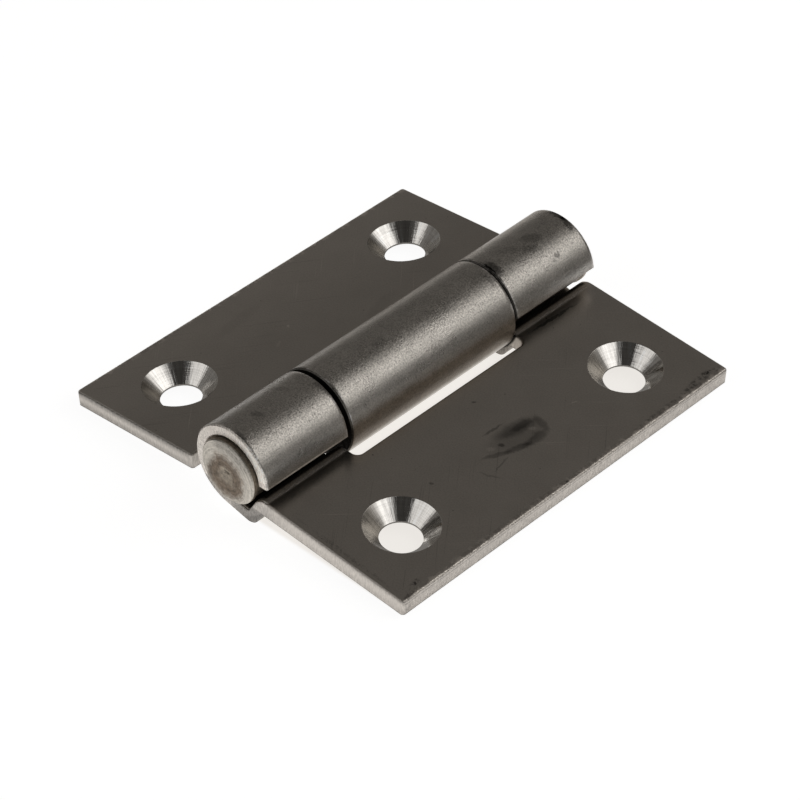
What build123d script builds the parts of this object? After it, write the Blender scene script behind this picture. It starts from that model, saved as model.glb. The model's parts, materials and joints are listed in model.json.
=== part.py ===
from build123d import *
from math import cos, radians, sin, tan
import os

# Butt hinge in steel sheet: two leaves, rolled into knuckles around one riveted pin.
# The pin lies along Y with the front end at -Y. The leaf with two knuckles reaches towards +X,
# the leaf with one knuckle towards -X, and their countersunk faces look up.
# The hinge lies open on Z = 0 with both leaves sloping down from the pin.
# Lengths are in millimetres and angles in degrees.

# Leaves
leaf_length = 50.0
leaf_width = 24.35  # from the pin axis to the free edge
leaf_thickness = 2.0
leaf_drop = 1.37  # from the pin axis down to the countersunk face
leaf_slope = 4.24  # fall of each leaf away from the pin at rest
corner_radius = 0.4
edge_roll = 0.3  # rounding that punching leaves on the countersunk side
edge_break = 0.15  # chamfer of the opposite side

# Screw holes
hole_diameter = 4.6
sink_diameter = 8.2
sink_angle = 90.0
hole_from_axis = 16.6
hole_spacing = 34.4

# Pin
pin_diameter = 7.3
pin_clearance = 0.05  # on the radius, in every knuckle
head_diameter = 7.6  # the riveted ends spread a little into the mouths of the bores
head_height = 0.55  # of the riveted end above the knuckle's end face
head_chamfer = 0.12
dish_diameter = 5.4  # shallow mark of the riveting tool
dish_depth = 0.08

# Knuckles
knuckle_wall = 1.5  # the rolled strip is thinner than the leaf
mouth_chamfer = 0.35  # at both ends of every bore
front_knuckle_length = 11.75
middle_knuckle_length = 25.0
front_joint_gap = 0.55
back_joint_gap = 0.1
leaf_shift = 0.2  # axial play, taken up by the leaf with one knuckle
free_edge_angle = 6.0  # of the rolled edge above the leaf's own plane
back_edge_lift = 5.0  # by which the back knuckle's rolled edge stops short of that
lead_angle = 8.0  # slope of the sheet where it runs in under the pin
step_angle = 62.0  # slope of the step between leaf and knuckle
step_clearance = 0.36  # between the bore and the step
heel_radius = 1.3
root_radius = 0.7
brow_radius = 1.8
cradle_radius = 0.4

# Notches for the other leaf's knuckles
notch_gap = 1.27  # between a knuckle and the notch edge beside it
notch_radius = 0.8

# Construction
cut_margin = 2.0  # by which a cutter passes the sheet
near = 0.02  # within this distance an edge counts as lying at a place

# Sizes that follow
bore_radius = pin_diameter / 2 + pin_clearance
knuckle_radius = bore_radius + knuckle_wall
notch_edge = knuckle_radius + notch_gap
leaf_end = leaf_length / 2
front_knuckle_end = -leaf_end + front_knuckle_length
middle_knuckle_front = front_knuckle_end + front_joint_gap
middle_knuckle_back = middle_knuckle_front + middle_knuckle_length
back_knuckle_start = middle_knuckle_back + back_joint_gap


def crossing(line_a, line_b):
    """Point where two lines of the section cross, each given by its normal's angle and its distance."""
    angle_a, distance_a = radians(line_a[0]), line_a[1]
    angle_b, distance_b = radians(line_b[0]), line_b[1]
    spread = sin(angle_b - angle_a)
    x = (distance_a * sin(angle_b) - distance_b * sin(angle_a)) / spread
    z = (distance_b * cos(angle_a) - distance_a * cos(angle_b)) / spread
    return x, z


# Straight stretches of the sheet's section: the leaf, the step and the run in under the pin.
top_line = (-90, leaf_drop)
back_line = (-90, leaf_drop + leaf_thickness)
step_top_line = (step_angle - 90, bore_radius + step_clearance)
step_back_line = (step_angle - 90, bore_radius + step_clearance + knuckle_wall)
lead_top_line = (-90 - lead_angle, bore_radius)
lead_back_line = (-90 - lead_angle, knuckle_radius)

brow = crossing(top_line, step_top_line)
cradle = crossing(step_top_line, lead_top_line)
heel = crossing(step_back_line, lead_back_line)
root = crossing(back_line, step_back_line)

# The flat faces of the leaf begin where the rounded corners of the step end.
top_start = brow[0] + brow_radius * tan(radians(step_angle / 2))
back_start = root[0] + root_radius * tan(radians(step_angle / 2))


def round_corner(section, point, radius):
    """Section with the corner nearest to a point rounded."""
    return fillet(section.vertices().sort_by_distance(point)[0], radius)


def sheet_section():
    """Section of a leaf and its rolled knuckle, with the leaf towards +X."""
    turn = 270 - lead_angle - free_edge_angle
    outside = CenterArc((0, 0), knuckle_radius, free_edge_angle, turn)
    bore = CenterArc((0, 0), bore_radius, free_edge_angle, turn)
    free_edge = Line(outside @ 0, bore @ 0)
    leaf_back = (leaf_width, -back_line[1])
    leaf_top = (leaf_width, -top_line[1])
    run = Polyline(outside @ 1, heel, root, leaf_back, leaf_top, brow, cradle, bore @ 1)
    section = make_face([outside, run, bore, free_edge])
    section = round_corner(section, heel, heel_radius)
    section = round_corner(section, root, root_radius)
    section = round_corner(section, brow, brow_radius)
    return round_corner(section, cradle, cradle_radius)


def notch(low, high):
    """Cutter that clears the sheet beside the pin, between two places along it."""
    reach = knuckle_radius + cut_margin
    outline = RectangleRounded(notch_edge + reach, high - low, notch_radius)
    centre = Pos((notch_edge - reach) / 2, (low + high) / 2)
    return extrude(centre * outline, amount=reach, both=True)


def edge_trim(low, high, lift):
    """Cutter that stops a knuckle's roll short by an angle, between two places along the pin."""
    reach = knuckle_radius + cut_margin
    rays = [radians(free_edge_angle - lift), radians(free_edge_angle + lift)]
    corners = [(reach * cos(ray), reach * sin(ray)) for ray in rays]
    sector = make_face(Polyline((0, 0), *corners, close=True))
    return Pos(0, (low + high) / 2) * extrude(Plane.XZ * sector, amount=(high - low) / 2, both=True)


def mouth(end, outward):
    """Cutter that opens a bore's end into a cone, where its knuckle ends along the pin."""
    reach = bore_radius + mouth_chamfer + cut_margin
    cone = Cone(reach, 0, reach, align=(Align.CENTER, Align.CENTER, Align.MIN))
    return Plane((0, end + outward * cut_margin, 0), z_dir=(0, -outward, 0)) * cone


def rim_edges(face, flat_start):
    """Edges around a flat face of the leaf, apart from the one where the sheet bends into the step."""
    return [edge for edge in face.outer_wire().edges() if edge.center().X > flat_start + near]


def leaf(centre, knuckles, cleared):
    """Leaf towards +X with its countersunk face level, rolled or cleared over stretches of the pin."""
    body = Pos(0, centre) * extrude(Plane.XZ * sheet_section(), amount=leaf_end, both=True)
    for low, high in cleared:
        body -= notch(low, high)
    upright = body.edges().filter_by(Axis.Z)
    corners = [edge for edge in upright if abs(edge.center().Y - centre) > leaf_end - near]
    body = fillet(corners, corner_radius)
    top = body.faces().filter_by(Axis.Z).sort_by(Axis.Z)[-1]
    body = fillet(rim_edges(top, top_start), edge_roll)
    back = body.faces().filter_by(Axis.Z).sort_by(Axis.Z)[0]
    body = chamfer(rim_edges(back, back_start), edge_break)
    for low, high in knuckles:
        body -= mouth(low, -1)
        body -= mouth(high, 1)
    sink = CounterSinkHole(hole_diameter / 2, sink_diameter / 2, leaf_thickness + cut_margin, sink_angle)
    for side in (-1, 1):
        body -= Pos(hole_from_axis, centre + side * hole_spacing / 2, -leaf_drop) * sink
    return body


def hinge_pin():
    """Round pin, flared into both bore mouths, with flat riveted ends that carry a shallow round mark."""
    top = leaf_end + head_height
    flare_start = leaf_end - (head_diameter - pin_diameter) / 2
    half = [
        (0, top - dish_depth),
        (dish_diameter / 2, top),
        (head_diameter / 2 - head_chamfer, top),
        (head_diameter / 2, top - head_chamfer),
        (head_diameter / 2, leaf_end),
        (pin_diameter / 2, flare_start),
    ]
    other_half = [(x, -y) for x, y in reversed(half)]
    return revolve(make_face(Polyline(*half, *other_half, close=True)), Axis.Y)


beyond = leaf_end + cut_margin
two_knuckle_leaf = leaf(
    centre=0,
    knuckles=[(-leaf_end, front_knuckle_end), (back_knuckle_start, leaf_end)],
    cleared=[(front_knuckle_end, back_knuckle_start)],
)
two_knuckle_leaf -= edge_trim(middle_knuckle_back, beyond, back_edge_lift)
one_knuckle_leaf = leaf(
    centre=leaf_shift,
    knuckles=[(middle_knuckle_front, middle_knuckle_back)],
    cleared=[(-beyond, middle_knuckle_front), (middle_knuckle_back, beyond)],
)

# Each leaf slopes down from the pin, and the lowest point of the hinge meets Z = 0.
pieces = {
    "two_knuckle_leaf": Rot(0, leaf_slope, 0) * two_knuckle_leaf,
    "one_knuckle_leaf": Rot(0, -leaf_slope, 0) * mirror(one_knuckle_leaf, Plane.YZ),
    "hinge_pin": hinge_pin(),
}
axis_height = -min(piece.bounding_box().min.Z for piece in pieces.values())

os.makedirs("parts", exist_ok=True)
for name, piece in pieces.items():
    export_step(Pos(0, 0, axis_height) * piece, f"parts/{name}.step")
print("pin axis height", round(axis_height, 4))
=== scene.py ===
"""Butt hinge of rolled and punched steel sheet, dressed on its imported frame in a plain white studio.

Blender's own lengths are metres. The patterns of the steel are worked out in millimetres, in the frame of
the piece that carries them: the pin axis is the origin, X runs out along the leaf, Y along the pin and Z up
from the countersunk face.
"""

from __future__ import annotations

import json
import logging
import math
import operator
from dataclasses import dataclass
from enum import Enum
from functools import reduce
from typing import Mapping, Sequence, Union

import bpy
import numpy as np
from mathutils import Matrix, Vector


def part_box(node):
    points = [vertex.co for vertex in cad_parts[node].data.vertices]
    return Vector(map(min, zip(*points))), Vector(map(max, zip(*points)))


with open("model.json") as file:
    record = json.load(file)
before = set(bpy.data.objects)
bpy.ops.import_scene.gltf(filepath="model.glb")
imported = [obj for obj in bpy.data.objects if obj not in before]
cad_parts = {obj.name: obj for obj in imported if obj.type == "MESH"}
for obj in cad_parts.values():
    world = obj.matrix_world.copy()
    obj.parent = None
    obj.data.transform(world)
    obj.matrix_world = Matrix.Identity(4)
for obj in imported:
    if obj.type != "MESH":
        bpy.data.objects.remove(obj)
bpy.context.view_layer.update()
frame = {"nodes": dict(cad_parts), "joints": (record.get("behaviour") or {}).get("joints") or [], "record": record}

MM = 0.001
log = logging.getLogger("butt_hinge")

Colour = tuple[float, float, float]
Span = tuple[float, float]
Plug = Union["Signal", float, Sequence[float]]


class Signal:
    """Output of a shader node that can be added, multiplied and shaped. Each step adds one more node."""

    band_core = 0.3  # share of a band's half width over which it is full

    def __init__(self, wires: Wiring, socket: bpy.types.NodeSocket) -> None:
        """Keeps the socket and the tree that it lies in."""
        self.wires = wires
        self.socket = socket

    def __add__(self, other: Plug) -> Signal:
        """Sum of two values."""
        return self.wires.math("ADD", self, other)

    def __sub__(self, other: Plug) -> Signal:
        """Difference of two values."""
        return self.wires.math("SUBTRACT", self, other)

    def __rsub__(self, other: float) -> Signal:
        """What this value leaves of a number."""
        return self.wires.math("SUBTRACT", other, self)

    def __mul__(self, other: Plug) -> Signal:
        """Product of two values."""
        return self.wires.math("MULTIPLY", self, other)

    def __truediv__(self, other: Plug) -> Signal:
        """Quotient of two values."""
        return self.wires.math("DIVIDE", self, other)

    def __rtruediv__(self, other: float) -> Signal:
        """A number divided by this value."""
        return self.wires.math("DIVIDE", other, self)

    def __abs__(self) -> Signal:
        """The value without its sign."""
        return self.wires.math("ABSOLUTE", self)

    __radd__ = __add__
    __rmul__ = __mul__

    def at_least(self, other: Plug) -> Signal:
        """The greater of two values."""
        return self.wires.math("MAXIMUM", self, other)

    def ramp(self, start: Plug, end: Plug) -> Signal:
        """Smooth step from 0 at start to 1 at end, where start may be the higher of the two."""
        plugs = {"Value": self, "From Min": start, "From Max": end}
        return self.wires.out("MapRange", plugs, interpolation_type="SMOOTHSTEP")

    def spread(self, low: Plug, high: Plug) -> Signal:
        """Maps 0 to low and 1 to high in a straight line, also beyond them."""
        return self.wires.out("MapRange", {"Value": self, "To Min": low, "To Max": high}, clamp=False)

    def about(self, gain: float) -> Signal:
        """Turns a pattern from 0 to 1 into one about zero, times a gain."""
        return self.wires.math("MULTIPLY_ADD", self, gain, -gain / 2)

    def band(self, centre: Plug, half: float) -> Signal:
        """Mask that is 1 where the value is at the centre, and 0 from the half width on."""
        return abs(self - centre).ramp(half, half * self.band_core)

    def split(self) -> list[Signal]:
        """Takes a vector apart into X, Y and Z."""
        return [Signal(self.wires, part) for part in self.wires.add("SeparateXYZ", {0: self}).outputs]


class Wiring:
    """Adds nodes to one shader tree and links them, so that a pattern reads as a run of calls."""

    def __init__(self, tree: bpy.types.NodeTree) -> None:
        """Keeps the tree that the nodes go into."""
        self.tree = tree

    def add(self, kind: str, plugs: Mapping[str | int, Plug], **settings: object) -> bpy.types.Node:
        """Adds one node.

        Args:
            kind: type of the node, without its ShaderNode prefix.
            plugs: values or signals for its inputs, by name or number.
            settings: properties of the node itself.

        Returns:
            The new node.
        """
        node = self.tree.nodes.new("ShaderNode" + kind)
        for name, value in settings.items():
            setattr(node, name, value)
        for key, plug in plugs.items():
            self.feed(node.inputs[key], plug)
        return node

    def out(
        self, kind: str, plugs: Mapping[str | int, Plug], output: str | int = 0, **settings: object
    ) -> Signal:
        """Adds one node and takes one output of it."""
        return Signal(self, self.add(kind, plugs, **settings).outputs[output])

    def feed(self, socket: bpy.types.NodeSocket, plug: Plug) -> None:
        """Links an input to a signal, or sets its value.

        Args:
            socket: the input.
            plug: the signal or value.
        """
        if isinstance(plug, Signal):
            self.tree.links.new(plug.socket, socket)
        else:
            socket.default_value = plug

    def math(self, operation: str, *terms: Plug) -> Signal:
        """Works out one number from others."""
        return self.out("Math", dict(enumerate(terms)), operation=operation)

    def vector(self, operation: str, *terms: Plug) -> Signal:
        """Works out one vector from others."""
        return self.out("VectorMath", dict(enumerate(terms)), "Vector", operation=operation)

    def distance(self, x: Signal, y: Signal) -> Signal:
        """Length of the vector with these two parts."""
        return self.math("SQRT", x * x + y * y)

    def join(self, x: Plug, y: Plug, z: Plug) -> Signal:
        """Puts X, Y and Z together as a vector."""
        return self.out("CombineXYZ", {0: x, 1: y, 2: z})

    def framed(self, vector: Plug, **frame_of: Plug) -> Signal:
        """Turns a vector into a frame that is given by its Location, Rotation and Scale."""
        return self.out("Mapping", {"Vector": vector, **frame_of}, vector_type="TEXTURE")

    def coordinates(self, name: str) -> Signal:
        """The surface's own coordinates of one kind."""
        return self.out("TexCoord", {}, name)

    def blend(self, share: Plug, first: Plug, second: Plug) -> Signal:
        """Mixes two numbers by the share of the second."""
        return self.out("Mix", {0: share, 2: first, 3: second}, data_type="FLOAT")

    def tint(self, share: Plug, first: Plug, second: Plug) -> Signal:
        """Mixes two colours by the share of the second."""
        return self.out("Mix", {0: share, 6: opaque(first), 7: opaque(second)}, 2, data_type="RGBA")

    def scaled(self, colour: Plug, tone: Plug) -> Signal:
        """Makes a colour lighter or darker by a factor."""
        return self.out("VectorMath", {0: colour, "Scale": tone}, "Vector", operation="SCALE")

    def noise(self, place: Plug, scale: Plug, detail: float = 2.0, gain: float = 0.5) -> Signal:
        """Cloudy pattern from 0 to 1.

        Args:
            place: where the pattern is read.
            scale: number of clouds per unit of length.
            detail: octaves of finer clouds.
            gain: strength of each octave beside the one before.

        Returns:
            The pattern's value.
        """
        return self.out("TexNoise", {"Vector": place, "Scale": scale, "Detail": detail, "Roughness": gain})

    def ragged(self, place: Plug, size: float, reach: float) -> Signal:
        """Pushes a place about by cloudy noise, so that what is drawn there gets ragged edges.

        Args:
            place: where the drawing is read, in millimetres.
            size: size of the noise's clouds.
            reach: how far it pushes.

        Returns:
            The pushed place.
        """
        plugs = {"Vector": place, "Scale": 1.0 / size, "Detail": 3.0, "Roughness": 0.6}
        push = self.vector("SUBTRACT", self.out("TexNoise", plugs, "Color"), (0.5, 0.5, 0.5))
        return self.vector("MULTIPLY_ADD", push, (2 * reach, 2 * reach, 2 * reach), place)


def opaque(colour: Plug) -> Plug:
    """Gives a plain colour its full alpha, and leaves a signal as it is."""
    return colour if isinstance(colour, Signal) else (*colour, 1.0)


class Effect:
    """Base of the shared effects, each a node group that is built once and placed in several materials."""

    name = ""
    inputs: Sequence[str] = ()
    vectors: Sequence[str] = ("Place", "Centre")
    outputs: Sequence[str] = ("Mask",)

    def __init__(self) -> None:
        """Makes the group with its named sockets and wires it."""
        self.tree = bpy.data.node_groups.new(self.name, "ShaderNodeTree")
        for name in self.inputs:
            kind = "NodeSocketVector" if name in self.vectors else "NodeSocketFloat"
            self.tree.interface.new_socket(name, in_out="INPUT", socket_type=kind)
        for name in self.outputs:
            self.tree.interface.new_socket(name, in_out="OUTPUT", socket_type="NodeSocketFloat")
        source = self.tree.nodes.new("NodeGroupInput").outputs
        target = self.tree.nodes.new("NodeGroupOutput").inputs
        wires = Wiring(self.tree)
        results = self.wire(wires, {name: Signal(wires, source[name]) for name in self.inputs})
        for name, result in zip(self.outputs, results):
            wires.feed(target[name], result)

    def wire(self, wires: Wiring, given: Mapping[str, Signal]) -> Sequence[Signal]:
        """Wires the effect.

        Args:
            wires: the group's tree.
            given: its inputs by name.

        Returns:
            One signal for each output.
        """
        raise NotImplementedError

    def place(self, wires: Wiring, **plugs: Plug) -> dict[str, Signal]:
        """Puts the effect into a material.

        Args:
            wires: the material's tree.
            plugs: values or signals for its inputs, by name.

        Returns:
            Its outputs by name.
        """
        node = wires.tree.nodes.new("ShaderNodeGroup")
        node.node_tree = self.tree
        for name, plug in plugs.items():
            wires.feed(node.inputs[name], plug)
        return {name: Signal(wires, node.outputs[name]) for name in self.outputs}

    def mask(self, wires: Wiring, **plugs: Plug) -> Signal:
        """Puts an effect that has one mask into a material."""
        return self.place(wires, **plugs)["Mask"]


class Grain(Effect):
    """Pebbled skin of steel that was stretched in rolling or torn in shearing."""

    name = "pebbled grain"
    inputs = ("Place", "Size", "Depth")
    outputs = ("Height", "Cloud")

    def wire(self, wires: Wiring, given: Mapping[str, Signal]) -> Sequence[Signal]:
        """Height is noise about zero times the depth, in millimetres, and cloud the same noise from 0 to 1.

        Args:
            wires: the group's tree.
            given: place in millimetres, size of a pebble and depth between pebbles.

        Returns:
            Height and cloud.
        """
        cloud = wires.noise(given["Place"], 1.0 / given["Size"], detail=2.0, gain=0.6)
        return (cloud - 0.5) * given["Depth"], cloud


class Specks(Effect):
    """Small pits and flecks, scattered with bare places between them."""

    name = "specks"
    inputs = ("Place", "Spacing", "Size", "Share")
    least_size = 0.4
    core = 0.4

    def wire(self, wires: Wiring, given: Mapping[str, Signal]) -> Sequence[Signal]:
        """A speck lies in the middle of a random cell, and only the given share of the cells has one.

        Args:
            wires: the group's tree.
            given: place and spacing in millimetres, size and share from 0 to 1.

        Returns:
            Mask, 1 in a speck.
        """
        cells = wires.add("TexVoronoi", {"Vector": given["Place"], "Scale": 1.0 / given["Spacing"]}).outputs
        which, how_large, _ = Signal(wires, cells["Color"]).split()
        chosen = wires.math("LESS_THAN", which, given["Share"])
        reach = given["Size"] * how_large.spread(self.least_size, 1.0)
        return (chosen * Signal(wires, cells["Distance"]).ramp(reach, reach * self.core),)


class Scratches(Effect):
    """Fine straight scratches that come and go along one direction."""

    name = "fine scratches"
    inputs = ("Place", "Turn", "Share")
    stretch = (0.09, 7.0, 0.5)
    limits = (0.78, 0.58)
    softness = 0.05
    patch_scale = 0.15
    patches = (0.48, 0.6)

    def wire(self, wires: Wiring, given: Mapping[str, Signal]) -> Sequence[Signal]:
        """Noise drawn out along the direction and cut off near its top, times a wide noise that breaks it up.

        Args:
            wires: the group's tree.
            given: place in millimetres, turn in radians about Z and share from 0 to 1.

        Returns:
            Mask, 1 in a scratch.
        """
        plugs = {"Vector": given["Place"], "Angle": given["Turn"]}
        turned = wires.out("VectorRotate", plugs, rotation_type="Z_AXIS")
        drawn = wires.noise(wires.vector("MULTIPLY", turned, self.stretch), 1.0, detail=1.0)
        limit = given["Share"].spread(*self.limits)
        patch = wires.noise(turned, self.patch_scale, detail=1.0).ramp(*self.patches)
        return (drawn.ramp(limit, limit + self.softness) * patch,)


class Stroke(Effect):
    """One stroke, thick in the middle and pointed at its ends: soiling and wear, and painted shade and highlights
    too.
    """

    name = "stroke"
    inputs = ("Place", "Centre", "Turn", "Length", "Width")
    fade = (1.1, 0.45)

    def wire(self, wires: Wiring, given: Mapping[str, Signal]) -> Sequence[Signal]:
        """Distance from the centre, counted in half lengths along the stroke and half widths across it.

        Args:
            wires: the group's tree.
            given: place and centre in millimetres, turn of the stroke about Z in radians, length and width.

        Returns:
            Mask, 1 in the middle of the stroke.
        """
        plugs = {"Vector": wires.vector("SUBTRACT", given["Place"], given["Centre"]), "Angle": given["Turn"]}
        along, across, _ = wires.out("VectorRotate", plugs, rotation_type="Z_AXIS", invert=True).split()
        far = wires.distance(along / (given["Length"] * 0.5), across / (given["Width"] * 0.5))
        return (far.ramp(*self.fade),)


class TurnedMarks(Effect):
    """Marks of a tool that turned about a centre: fine rings, and streaks along the radius."""

    name = "turned marks"
    inputs = ("X", "Y", "Seed")
    outputs = ("Rings", "Streaks", "Radius")
    least_radius = 0.05
    ring_scale = 6.0
    ring_wander = 0.5
    streak_scale = 9.0
    streak_drift = 0.35

    def wire(self, wires: Wiring, given: Mapping[str, Signal]) -> Sequence[Signal]:
        """Rings are noise along the radius, and streaks noise round the circle that drifts a little outwards.

        Args:
            wires: the group's tree.
            given: place across the centre in millimetres, and a seed that sets places apart.

        Returns:
            Rings and streaks from 0 to 1, and the distance from the centre in millimetres.
        """
        radius = wires.distance(given["X"], given["Y"])
        least = radius.at_least(self.least_radius)
        east = given["X"] / least
        north = given["Y"] / least
        ring_place = wires.join(
            radius * self.ring_scale, east * self.ring_wander, north * self.ring_wander + given["Seed"]
        )
        streak_place = wires.join(
            east * self.streak_scale, north * self.streak_scale, radius * self.streak_drift + given["Seed"]
        )
        rings = wires.noise(ring_place, 1.0, detail=2.0)
        return rings, wires.noise(streak_place, 1.0, detail=3.0, gain=0.65), radius


class WornRim(Effect):
    """Bright ragged line that handling leaves along an edge."""

    name = "worn rim"
    inputs = ("Place", "Distance", "Width")
    scale = 0.8
    widening = (0.38, 0.62)
    bare = (0.4, 0.5)
    core = 0.3

    def wire(self, wires: Wiring, given: Mapping[str, Signal]) -> Sequence[Signal]:
        """Mask that falls off over a width from the edge. Noise sets the width and leaves bare stretches.

        Args:
            wires: the group's tree.
            given: place, distance from the edge and greatest width of the line, in millimetres.

        Returns:
            Mask, 1 at the edge where it is worn.
        """
        luck = wires.noise(given["Place"], self.scale, detail=4.0, gain=0.65)
        width = given["Width"] * luck.ramp(*self.widening)
        return (given["Distance"].ramp(width, width * self.core) * luck.ramp(*self.bare),)


@dataclass(frozen=True)
class Effects:
    """The shared effects, each built once."""

    grain: Grain
    specks: Specks
    scratches: Scratches
    stroke: Stroke
    turned: TurnedMarks
    worn: WornRim

    @classmethod
    def build(cls) -> Effects:
        """Builds every group."""
        return cls(Grain(), Specks(), Scratches(), Stroke(), TurnedMarks(), WornRim())


@dataclass(frozen=True)
class HingeSizes:
    """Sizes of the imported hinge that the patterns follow: lengths in millimetres, the slope in radians."""

    pin_height: float
    slope: float
    hole_reach: float
    hole_spacing: float
    sheet_back: float
    knuckle_radius: float
    leaf_end: float
    leaf_width: float
    sink_radius: float = 4.1
    sheet_thickness: float = 2.0
    edge_roll: float = 0.3
    knuckle_wall: float = 1.5

    @classmethod
    def read(cls, record: Mapping, joints: Sequence[Mapping]) -> HingeSizes:
        """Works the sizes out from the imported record.

        Args:
            record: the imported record, whose first mount is the screw pattern of the leaf towards X.
            joints: the record's joints, of which the first is the pin axis.

        Returns:
            The sizes.
        """
        screws = record["mounts"][0]
        axis = Vector(screws["axis"])
        slope = math.atan2(axis.x, axis.z)
        pivot = Vector(joints[0]["pos_m"])
        place = Matrix.Rotation(-slope, 3, "Y") @ (Vector(screws["pos_m"]) - pivot)
        leaf_low, leaf_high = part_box("two_knuckle_leaf")
        widest = place.z / MM + cls.sheet_thickness - cls.edge_roll
        return cls(
            pin_height=pivot.z / MM,
            slope=slope,
            hole_reach=place.x / MM,
            hole_spacing=screws["dims"]["pcd_mm"],
            sheet_back=place.z / MM,
            knuckle_radius=-leaf_low.x / MM,
            leaf_end=leaf_high.y / MM,
            leaf_width=(leaf_high.x / MM - widest * math.sin(slope)) / math.cos(slope),
        )

    @property
    def sheet_top(self) -> float:
        """Height of the countersunk face in the leaf's own frame."""
        return self.sheet_back + self.sheet_thickness


@dataclass(frozen=True)
class Finish:
    """Colour and roughness that one way of working leaves on the steel."""

    colour: Colour
    roughness: float


@dataclass(frozen=True)
class Mark:
    """One stroke on the steel from a start to an end, in millimetres.

    On a leaf's face the two numbers of a point are X and Y in the leaf's own frame. On a knuckle they are
    the way round the pin from the top, towards the leaf, and Y. A strength below zero is paler than the
    steel round it.
    """

    start: Span
    end: Span
    width: float
    strength: float

    def draw(self, effects: Effects, place: Signal) -> Signal:
        """Puts the stroke into a material.

        Args:
            effects: the shared effects.
            place: the place that the stroke is read at, with zero as its third part.

        Returns:
            The stroke's mask times its strength.
        """
        start, end = np.array(self.start), np.array(self.end)
        middle = (start + end) / 2
        reach = end - start
        mask = effects.stroke.mask(
            place.wires,
            Place=place,
            Centre=(*middle, 0.0),
            Turn=math.atan2(reach[1], reach[0]),
            Length=float(np.hypot(*reach)) + self.width,
            Width=self.width,
        )
        return mask * self.strength


def beyond(size: float, offsets: Span) -> Span:
    """Two places that are given as offsets from a size."""
    return size + offsets[0], size + offsets[1]


def drawn(marks: Sequence[Mark], effects: Effects, place: Signal) -> Signal:
    """Adds up strokes that are read at one place."""
    return reduce(operator.add, [mark.draw(effects, place) for mark in marks])


class DressedNode:
    """Base of the hinge's pieces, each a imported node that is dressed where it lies."""

    node: str

    def dress(self, effects: Effects) -> None:
        """Gives the node its steel.

        Args:
            effects: the shared effects.
        """
        material = bpy.data.materials.new(self.node + " steel")
        material.use_nodes = True
        wires = Wiring(material.node_tree)
        colour, roughness, height = self.surface(wires, effects)
        relief = wires.out("Bump", {"Strength": 1.0, "Distance": MM, "Height": height})
        shader = wires.tree.nodes["Principled BSDF"].inputs
        shader["Metallic"].default_value = 1.0
        for name, signal in (("Base Color", colour), ("Roughness", roughness), ("Normal", relief)):
            wires.feed(shader[name], signal)
        frame["nodes"][self.node].material_slots[0].material = material
        log.info("%s dressed", self.node)

    def surface(self, wires: Wiring, effects: Effects) -> tuple[Signal, Signal, Signal]:
        """Wires the steel's patterns.

        Args:
            wires: the material's tree.
            effects: the shared effects.

        Returns:
            Colour, roughness and height in millimetres.
        """
        raise NotImplementedError


class Side(Enum):
    """Side of the pin on which a leaf lies."""

    TOWARDS_X = 1
    AWAY_FROM_X = -1


@dataclass(frozen=True)
class LeafSteel:
    """Finishes of a leaf, by what each part of it went through, from the lowest layer up."""

    sheet: Finish = Finish((0.505, 0.470, 0.430), 0.30)
    rolled: Finish = Finish((0.50, 0.475, 0.44), 0.28)
    sheared: Finish = Finish((0.515, 0.48, 0.441), 0.55)
    ring: Finish = Finish((0.75, 0.70, 0.645), 0.55)
    sunk: Finish = Finish((0.90, 0.88, 0.85), 0.11)
    # Brown stain and painted shade: one side of each countersink is duller and darker
    film_and_shade: Finish = Finish((0.27, 0.245, 0.21), 0.30)
    worn: Finish = Finish((0.90, 0.87, 0.83), 0.40)
    # Brown stain and painted shade on the knuckle's lower side, towards the leaf and the slot
    oxide_and_shade: Finish = Finish((0.17, 0.142, 0.112), 0.40)
    # Grease, and painted shade that darkens the bore and the knuckle ends in the joints between knuckles
    grease_and_shade: Finish = Finish((0.04, 0.036, 0.031), 0.6)


@dataclass(frozen=True)
class LeafPlaces:
    """Where parts of a leaf begin and end, in millimetres: a pair is where a mask is 0 and where it is 1."""

    # Offsets from the size that each is named after
    sink_rim: Span = (0.02, -0.04)
    knuckle_skin: Span = (0.08, 0.3)
    knuckle_inside: float = -0.35
    bore_inside: float = 0.8
    hinge_end: Span = (-0.8, -0.3)
    # Distances from the pin axis
    ring: Span = (7.5, 5.0)
    # Painted light: the end ring is lighter on the side towards the leaf, where the pin head shades it
    ring_side_light: Span = (-4.0, 3.0)
    front_reach: Span = (5.0, 9.0)
    pale: Span = (11.0, 24.0)
    # Depths below the countersunk face, where the groove's pair is its middle and half its width
    groove: Span = (0.42, 0.12)
    # Painted shade at the foot of the cut edges, just over the floor
    foot: Span = (1.66, 1.9)
    front_foot: Span = (0.8, 1.6)
    # Widths of lines and bands
    pitted_half: float = 2.6
    end_round: float = 0.45
    end_rim: float = 0.5
    rubbed: float = 1.0
    frayed: Span = (0.75, 0.1)
    # Parts of a unit vector
    sink_facing: Span = (-0.8, -0.4)
    film_and_shade_facing: Span = (0.55, 0.9)
    knuckle_cut: Span = (0.75, 0.35)
    leaf_cut: Span = (0.45, 0.8)
    end_facing: Span = (0.5, 0.8)
    # Share of the half width of the knuckle's brown, painted shade strip over which it is full, and level of the
    # noise at which smears crumble
    oxide_and_shade_core: float = 0.35
    crumbs: Span = (0.42, 0.62)


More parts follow.
